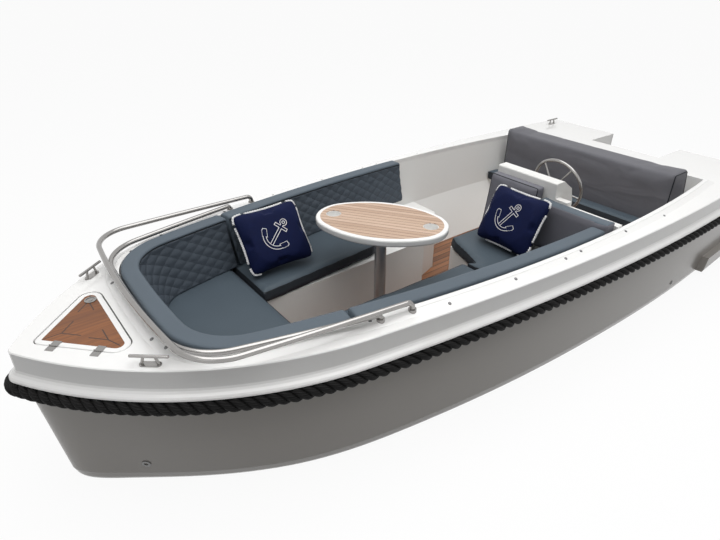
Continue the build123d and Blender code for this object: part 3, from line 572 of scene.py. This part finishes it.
def wall_points(rows, inward, height):
    """Points beside the cockpit wall. The wall leans in evenly from its rim down to the knuckle, and the
    bow wall also moves aft: place = opening outline - outward * (lean + inward) - bow lean."""
    plan_xy, outward = rows[:, None, :2], rows[:, None, 2:]
    rim = sheer_amidships + rows[:, None, 0] * math.tan(sheer_tilt) - wall_rim_drop
    share = np.clip((rim - height) / (rim - wall_knuckle_z), 0.0, 1.0)[..., None]
    flat = plan_xy - outward * (wall_lean * share + inward[..., None])
    flat = flat - np.array([wall_bow_lean, 0.0]) * share * np.clip(outward[..., :1], 0.0, 1.0)
    return np.concatenate([flat, height[..., None]], axis=-1)


def smooth_closed(values, times):
    """Average each row of a closed list with its two neighbours, some number of times."""
    for _ in range(times):
        values = (np.roll(values, 1, axis=0) + 2 * values + np.roll(values, -1, axis=0)) / 4
    return values


# Section of the ring, once round from its foot at the wall: distance in from the wall, drop from the top,
# share of the full height, quilted or not. The top is flat, with a seam close under its inner edge.
ring_keys = np.array([
    (0.002, 0.000, 1.0, 0), (0.002, 0.010, 0.0, 0), (0.006, 0.003, 0.0, 0), (0.014, 0.000, 0.0, 0),
    (0.072, 0.000, 0.0, 0), (0.081, 0.002, 0.0, 0), (0.086, 0.008, 0.0, 0), (0.086, 0.014, 0.0, 0),
    (0.079, 0.017, 0.0, 0), (0.085, 0.021, 0.0, 1), (0.086, 0.028, 0.0, 1), (0.086, -0.012, 1.0, 1),
    (0.080, -0.001, 1.0, 0),
])
ring_steps = (8, 2, 2, 10, 3, 3, 2, 3, 2, 2, 50, 3, 6)
ring_seam_in, ring_seam_drop, ring_seam_reach = 0.080, 0.017, 0.006
ring_section = smooth_closed(np.concatenate([
    np.linspace(corner, following, steps, endpoint=False)
    for corner, following, steps in zip(ring_keys, np.roll(ring_keys, -1, axis=0), ring_steps)
]), 1)


def ring_piece(name, near_x, far_x, side, node):
    """Padded band along the wall between two places: section times path, with diamonds pressed into the
    face, depth = sqrt(|sin a| * |sin b|) over the two slants, and rounded ends."""
    inside = (wall_all[:, 0] > near_x) & (wall_all[:, 0] < far_x)
    if side:
        inside &= wall_all[:, 1] * side > 0
    rows, run = wall_all[inside], wall_run[inside]
    end_radius = 0.005
    from_end = np.minimum(run - run[0], run[-1] - run)
    into_end = np.clip(end_radius - from_end, 0, None)
    pull = end_radius - np.sqrt(np.clip(end_radius ** 2 - into_end ** 2, 0, None))
    top = sheer_amidships + rows[:, 0] * math.tan(sheer_tilt) + ring_rise
    height = top[:, None] - ring_section[:, 1] - ring_section[:, 2] * (top[:, None] - ring_foot_z)
    inward = ring_gap + np.broadcast_to(ring_section[:, 0], height.shape)
    quilted = np.clip(ring_section[:, 3] * 1.6 - 0.5, 0.0, 1.0)
    wide, tall = quilt_cell
    face = rows[:, :2] - rows[:, 2:] * (ring_gap + ring_thick + wall_lean / 2)
    face_run = np.append(0.0, np.cumsum(step_lengths(face)))[:, None]
    depth = [np.abs(np.sin(math.pi * (face_run / wide + way * height / tall))) for way in (1, -1)]
    inward = inward + quilted * (0.0052 * np.sqrt(depth[0] * depth[1]) - 0.0038)
    middle_in, middle_z = inward.mean(axis=1, keepdims=True), height.mean(axis=1, keepdims=True)
    reach = np.hypot(inward - middle_in, height - middle_z)
    kept = 1 - pull[:, None] / np.maximum(reach, end_radius)
    grid = wall_points(rows, middle_in + (inward - middle_in) * kept, middle_z + (height - middle_z) * kept)
    uv = np.stack([np.broadcast_to(face_run, height.shape), np.where(quilted > 0.4, height, -1.0)], axis=-1)
    piece = surface(name, [grid], roll_vinyl, uv=[uv], caps=True)
    piece.data.materials.append(quilt_vinyl)
    piece.data.materials.append(welt_vinyl)
    columns = len(ring_section)
    tones = np.where(quilted > 0.4, 1, 0)
    from_seam = np.abs(ring_section[:, 0] - ring_seam_in) + np.abs(ring_section[:, 1] - ring_seam_drop)
    tones = np.where(from_seam + ring_section[:, 2] < ring_seam_reach, 2, tones)
    slots = np.concatenate([np.tile(tones, len(rows) - 1), np.zeros(2 * columns, int)])
    piece.data.polygons.foreach_set("material_index", slots.astype(np.int32))
    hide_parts(node)


ring_piece("bow_back_pad", 1.2155, 3.0, 0, "bow_backrest")
ring_piece("starboard_back_pad", -0.240, 1.2145, -1, "starboard_backrest")
ring_piece("port_back_pad", -0.412, 1.2145, 1, "port_backrest")

# ---- Seat cushions ---------------------------------------------------------------------------------
# Cut foam blocks in sewn vinyl covers, lying loose on the benches. The tops crown a little, the sides
# draw in, and a dark welt runs round each top edge.
def shrunk_copy(name, node, gap):
    """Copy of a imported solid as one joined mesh, made smaller about its middle, each side by a gap."""
    mesh = nodes[node].data.copy()
    mesh.materials.clear()
    made = bmesh.new()
    made.from_mesh(mesh)
    bmesh.ops.remove_doubles(made, verts=made.verts, dist=0.0002)
    bmesh.ops.recalc_face_normals(made, faces=made.faces)
    made.to_mesh(mesh)
    made.free()
    mesh.shade_smooth()
    piece = bpy.data.objects.new(name, mesh)
    scene.collection.objects.link(piece)
    low, high = (np.array(corner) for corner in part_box(node))
    middle, half = (low + high) / 2, (high - low) / 2
    smaller = Matrix.Diagonal((*(1 - gap / half), 1.0))
    mesh.transform(Matrix.Translation(middle) @ smaller @ Matrix.Translation(-middle))
    return piece


def vertex_array(mesh):
    """All vertex places as one array."""
    return listed(mesh.vertices, "co", 3).astype(float)


def keep_modifiers(piece):
    """Apply the piece's modifiers to its mesh."""
    solved = bpy.data.meshes.new_from_object(piece.evaluated_get(bpy.context.evaluated_depsgraph_get()))
    piece.modifiers.clear()
    piece.data = solved


def swell(piece, cap, held_share=0.0, pressure=4.0, low=None):
    """Blow a cover up by cloth simulation. Its lowest share is held, no point moves further than the cap,
    and none ends up lower than low."""
    rest = vertex_array(piece.data)
    group = piece.vertex_groups.new(name="held")
    bottom, top = rest[:, 2].min(), rest[:, 2].max()
    held = np.flatnonzero(rest[:, 2] < bottom + (top - bottom) * held_share)
    group.add(held.tolist(), 1.0, "REPLACE")
    cloth = piece.modifiers.new("cover", "CLOTH")
    cloth.settings.quality = 5
    cloth.settings.mass = 0.3
    cloth.settings.use_pressure = True
    cloth.settings.uniform_pressure_force = pressure
    cloth.settings.effector_weights.gravity = 0.0
    cloth.settings.vertex_group_mass = "held" if held_share else ""
    cloth.settings.tension_stiffness = cloth.settings.compression_stiffness = 22.0
    cloth.collision_settings.use_collision = False
    last_frame = 20
    cloth.point_cache.frame_start, cloth.point_cache.frame_end = 1, last_frame
    for frame_number in range(1, last_frame + 1):
        scene.frame_set(frame_number)
    solved = piece.evaluated_get(bpy.context.evaluated_depsgraph_get()).to_mesh()
    moved = vertex_array(solved) - rest
    length = np.linalg.norm(moved, axis=1, keepdims=True)
    placed = rest + moved * np.minimum(1.0, cap / np.maximum(length, 1e-9))
    if low is not None:
        placed[:, 2] = np.maximum(placed[:, 2], low)
    piece.modifiers.clear()
    scene.frame_set(1)
    piece.data.vertices.foreach_set("co", placed.ravel().astype(np.float32))
    piece.data.update()


def stuffed(name, node, voxel, gap, cap, held_share, material, boxing=None):
    """Padded piece from a plain solid: shrunk, remeshed evenly, blown up, eased and made finer. Its upright
    faces take the boxing cloth."""
    piece = shrunk_copy(name, node, gap)
    remesh = piece.modifiers.new("even", "REMESH")
    remesh.mode, remesh.voxel_size = "VOXEL", voxel
    keep_modifiers(piece)
    swell(piece, cap, held_share, low=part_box(node)[0].z)
    ease = piece.modifiers.new("ease", "SMOOTH")
    ease.factor, ease.iterations = 0.5, 2
    fine = piece.modifiers.new("fine", "SUBSURF")
    fine.levels = fine.render_levels = 1
    keep_modifiers(piece)
    piece.data.shade_smooth()
    piece.data.materials.clear()
    piece.data.materials.append(material)
    if boxing:
        piece.data.materials.append(boxing)
        upright = np.abs(listed(piece.data.polygons, "normal", 3)[:, 2]) < 0.6
        piece.data.polygons.foreach_set("material_index", upright.astype(np.int32))
    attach(piece, "boat")
    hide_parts(node)
    return piece


def face_outline(node, direction, least=0.92):
    """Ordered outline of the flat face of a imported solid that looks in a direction: the edges that only
    one of that face's triangles uses, linked end to end."""
    mesh = nodes[node].data
    places = np.round(vertex_array(mesh), 5)
    _, first, same = np.unique(places, axis=0, return_index=True, return_inverse=True)
    triangles = same.ravel()[listed(mesh.polygons, "vertices", 3, np.int32)]
    facing = triangles[listed(mesh.polygons, "normal", 3) @ np.array(direction) > least]
    sides = np.concatenate([facing[:, [0, 1]], facing[:, [1, 2]], facing[:, [2, 0]]])
    pairs, count = np.unique(np.sort(sides, axis=1), axis=0, return_counts=True)
    outer = {tuple(pair) for pair in pairs[count == 1]}
    follow = {a: b for a, b in sides.tolist() if (min(a, b), max(a, b)) in outer}
    start = here = next(iter(follow))
    chain = []
    while here is not None:
        chain.append(here)
        here = follow.pop(here, None)
        if here == start:
            break
    return places[first[chain]]


def rounded_loop(points, step, rounds):
    """Closed outline in even steps, its corners rounded by averaging with its neighbours."""
    closed = np.concatenate([points, points[:1]])
    even, _ = even_steps(closed, max(int(step_lengths(closed).sum() / step), 24))
    return smooth_closed(even[:-1], rounds)


def welt(name, outline, cover, radius):
    """Sewn welt: a closed thin tube along an outline, laid onto the nearest place of the cover."""
    tree = search_tree(cover.data)
    found = [tree.find_nearest(Vector(point)) for point in outline]
    line = smooth_closed(np.array([place for place, _, _, _ in found]), 4)
    along = unit(np.roll(line, -1, axis=0) - np.roll(line, 1, axis=0))
    side = unit(np.cross(along, np.array([normal for _, normal, _, _ in found])))
    normal = np.cross(side, along)
    angle = np.linspace(0.0, 2 * math.pi, 8, endpoint=False)[None, :, None]
    grid = line[:, None] + radius * (np.cos(angle) * side[:, None] + np.sin(angle) * normal[:, None])
    piece = surface(name, [grid], welt_vinyl, closed_rows=True)


cushion_voxel, cushion_gap, cushion_crown, cushion_held = 0.014, 0.003, 0.008, 0.45
welt_inset, welt_drop, welt_radius = 0.012, 0.006, 0.0026
for seat_name in ("bow_seat", "starboard_seat", "port_seat", "aft_seat", "helm_seat"):
    cushion = f"{seat_name}_cushion"
    pad = stuffed(
        f"{seat_name}_pad", cushion, cushion_voxel, cushion_gap, cushion_crown, cushion_held, seat_vinyl,
        boxing=boxing_vinyl,
    )
    rim = face_outline(cushion, (0, 0, 1))
    rim_middle = rim.mean(axis=0)
    rim = rounded_loop(rim, 0.010, 6)
    rim[:, :2] += (rim_middle[:2] - rim[:, :2]) * welt_inset
    welt(f"{seat_name}_welt", rim - np.array([0.0, 0.0, welt_drop]), pad, welt_radius)

# ---- Console, aft and stern backrests ----------------------------------------------------------------
# Foam boards in the same vinyl stand against the console and the bulkhead. The tall bolster behind the
# helm seat wears a slack grey weather cover with piped ends.
console_vinyl = vinyl("console_vinyl", (0.165, 0.165, 0.188))
board_voxel, board_gap, board_crown = 0.009, 0.002, 0.007
bolster_voxel, bolster_gap, bolster_crown, bolster_fill = 0.017, 0.005, 0.014, 0.8
console_pad = stuffed(
    "console_back_pad", "console_backrest", board_voxel, board_gap, board_crown, 0.0, console_vinyl
)
console_rim = rounded_loop(face_outline("console_backrest", (1, 0, 0.14)), 0.008, 5)
welt("console_back_welt", console_rim, console_pad, 0.003)
stuffed(
    "aft_back_pad", "aft_backrest", board_voxel, board_gap, board_crown, 0.0, roll_vinyl,
    boxing=console_vinyl,
)
cover_canvas = vinyl("weather_cover", (0.135, 0.135, 0.150), weave=1.0, slack=0.024)
bolster_pad = stuffed(
    "stern_back_pad", "stern_backrest", bolster_voxel, bolster_gap, bolster_crown, 0.0, cover_canvas,
)
for end_name, end_way in (("port", 1), ("starboard", -1)):
    end_line = rounded_loop(face_outline("stern_backrest", (0, end_way, 0)), 0.010, 4)
    welt(f"stern_back_{end_name}_piping", end_line, bolster_pad, 0.004)

# ---- Scatter pillows ---------------------------------------------------------------------------------
# Navy cotton pillows, soft and square, with rounded corners. A white twisted cord is sewn round the edge
# in lengths, and a plain anchor is stitched in white outline on the front.
pillow_wide, pillow_tall, pillow_thick = 0.425, 0.385, 0.120


def pillow_grid(count):
    """Front and back sheet of a pillow: the sides curve in between the corners, the corners are rounded by
    a share of u^4 v^4, and thickness falls off towards the rim as sqrt((1 - u^4)(1 - v^4))."""
    u, v = np.meshgrid(np.linspace(-1, 1, count), np.linspace(-1, 1, count), indexing="ij")
    bow_in, corner_round = 0.03, 0.09
    rounded = 1 - corner_round * u ** 4 * v ** 4
    x = u * pillow_wide / 2 * (1 - bow_in * (1 - v ** 2)) * rounded
    z = v * pillow_tall / 2 * (1 - bow_in * (1 - u ** 2)) * rounded
    puff = pillow_thick * 0.40 * ((1 - u ** 4) * (1 - v ** 4)) ** 0.5
    return x, z, puff


def pillow_cloth(name, tilt):
    """Navy cotton with a fine weave, and an anchor stitched on it at a tilt. The anchor is an outline: the
    edge of a union of a ring, a shank, a stock, a curved arm and two flukes. Each is worked out as a
    distance in metres on the pillow's own map, before the anchor is scaled up."""
    material, wire = new_material(name, {"Specular IOR Level": 0.10})
    place = wire.node("UVMap", {"uv_map": "along"})
    turned = wire.node(
        "Mapping", {}, {"Vector": place, "Rotation": (0, 0, math.radians(tilt)), "Scale": (0.86, 0.86, 1.0)}
    )
    x = turned.axis("X")
    y = turned.axis("Y")
    width = abs(x)

    def length(a, b):
        return (a * a + b * b) ** 0.5

    def longest(a, b):
        return wire.math("MAXIMUM", a, b)

    def least(*values):
        result = values[0]
        for value in values[1:]:
            result = wire.math("MINIMUM", result, value)
        return result

    ring = abs(length(x, y - 0.074) - 0.012) - 0.004
    shank = longest(width - 0.0055, abs(y - 0.004) - 0.060)
    stock = longest(abs(y - 0.046) - 0.0055, width - 0.033)
    arm = longest(abs(length(x, y + 0.004) - 0.060) - 0.0065, y + 0.016)
    fluke_side, fluke_end = width - 0.058, width - 0.074
    fluke = longest(abs(y + 0.022 - fluke_side * 0.5) + abs(fluke_side) * 0.9 - 0.020, fluke_end)
    shape = least(ring, shank, stock, arm, fluke)
    drawn = abs(shape - 0.0012) < 0.0016
    cloud = place.noise(18.0, 4.0)
    thread = 5200.0
    weave_x = wire.math("SINE", place.axis("X") * thread)
    weave_y = wire.math("SINE", place.axis("Y") * thread)
    front = place.axis("X") < 0.5
    navy = cloud.mix((0.0035, 0.006, 0.030), (0.006, 0.011, 0.050))
    (drawn * front).mix(navy, (0.72, 0.72, 0.72)).feed("Base Color")
    (cloud * 0.15 + 0.62).feed("Roughness")
    relief = weave_x * weave_y * 0.0002 + drawn * front * 0.0008
    relief.emboss(0.5)
    return material


cord_white, cord_wire = new_material("cord_white")
cord_place = cord_wire.node("TexCoord", output="Object")
cord_fibre = cord_place.noise(500.0, 3.0)
cord_fibre.mix((0.60, 0.60, 0.60), (0.85, 0.85, 0.85)).feed("Base Color")
(cord_fibre * 0.2 + 0.6).feed("Roughness")
(cord_fibre * 0.0006).emboss(0.6)


def twisted_cord(name, path, strands, strand_radius, lay, material):
    """Twisted cord: strands wound about an open path, one turn in each lay."""
    line, run = even_steps(path, max(int(step_lengths(path).sum() / (lay / 10)), 8))
    along = unit(np.gradient(line, axis=0))
    never_along = np.array([0.3, 0.5, 0.81])
    side = unit(np.cross(along, never_along))
    up = np.cross(side, along)
    angle = np.linspace(0.0, 2 * math.pi, 7, endpoint=False)[None, :, None]
    circle = strand_radius * (np.cos(angle) * side[:, None] + np.sin(angle) * up[:, None])
    grids = []
    for strand in range(strands):
        twist = 2 * math.pi * (run / lay + strand / strands)
        centre = line + strand_radius * 0.95 * (np.cos(twist)[:, None] * side + np.sin(twist)[:, None] * up)
        grids.append(centre[:, None] + circle)
    return surface(name, grids, material, caps=True)


def pillow(name, node, place, turn, front, tilt, cord_lengths):
    """One pillow: two sheets joined at the rim, blown up, with lengths of white cord along its rim. Front
    is 1 or -1, the side of its own y axis that shows the anchor."""
    count = 57
    x, z, puff = pillow_grid(count)
    sheets = [np.stack([x, way * front * puff, z], axis=-1) for way in (1, -1)]
    numbers = np.arange(count * count).reshape(count, count)
    rim = np.concatenate([numbers[0, :-1], numbers[:-1, -1], numbers[-1, :0:-1], numbers[:0:-1, 0]])
    back = numbers + count * count
    back.ravel()[rim] = rim
    quads = []
    for table, way in ((numbers, front), (back, -front)):
        quad = np.stack([table[:-1, :-1], table[1:, :-1], table[1:, 1:], table[:-1, 1:]], axis=-1)
        quads.append(quad.reshape(-1, 4)[:, ::-way])
    used, compact = np.unique(np.concatenate(quads), return_inverse=True)
    corners = np.concatenate([sheet.reshape(-1, 3) for sheet in sheets])[used]
    mesh = bpy.data.meshes.new(name)
    mesh.from_pydata(corners.tolist(), [], compact.reshape(-1, 4).tolist())
    layer = mesh.uv_layers.new(name="along").data
    loops = listed(mesh.loops, "vertex_index", 1, np.int32).ravel()
    flat = np.stack([-front * corners[:, 0], corners[:, 2]], axis=-1)[loops]
    flat[len(loops) // 2:, 0] += 1.0
    layer.foreach_set("uv", flat.ravel().astype(np.float32))
    mesh.materials.append(pillow_cloth(f"{name}_cotton", tilt))
    piece = bpy.data.objects.new(name, mesh)
    scene.collection.objects.link(piece)
    mesh.transform(Matrix.Translation(place) @ turn)
    swell(piece, 0.016, pressure=3.0)
    fine = piece.modifiers.new("fine", "SUBSURF")
    fine.levels = fine.render_levels = 1
    edge = vertex_array(piece.data)[np.searchsorted(used, rim)]
    keep_modifiers(piece)
    piece.data.shade_smooth()
    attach(piece, "boat")
    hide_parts(node)
    for index, (start, end) in enumerate(cord_lengths):
        share = np.arange(int(start * len(edge)), int(end * len(edge)) + 1) % len(edge)
        cord = twisted_cord(f"{name}_cord_{index + 1}", edge[share], 3, 0.0044, 0.045, cord_white)


starboard_place, port_place = (1.000, -0.411, 0.647), (-0.284, 0.282, 0.649)
starboard_turn = Matrix.Rotation(math.radians(35), 4, "X") @ Matrix.Rotation(math.radians(-4), 4, "Z")
port_turn = Matrix.Rotation(math.radians(90), 4, "Z") @ Matrix.Rotation(math.radians(-30), 4, "X")
starboard_cord = ((0.02, 0.215), (0.225, 0.285), (0.30, 0.455), (0.465, 0.54), (0.55, 0.70), (0.715, 0.785))
port_cord = (
    (0.05, 0.20), (0.215, 0.29), (0.31, 0.45), (0.465, 0.53), (0.56, 0.68), (0.70, 0.79), (0.82, 0.95),
)
starboard_tilt, port_tilt = 48, 27
pillow(
    "starboard_scatter_pillow", "starboard_pillow", starboard_place, starboard_turn, 1, starboard_tilt,
    starboard_cord,
)
pillow("port_scatter_pillow", "port_pillow", port_place, port_turn, -1, port_tilt, port_cord)
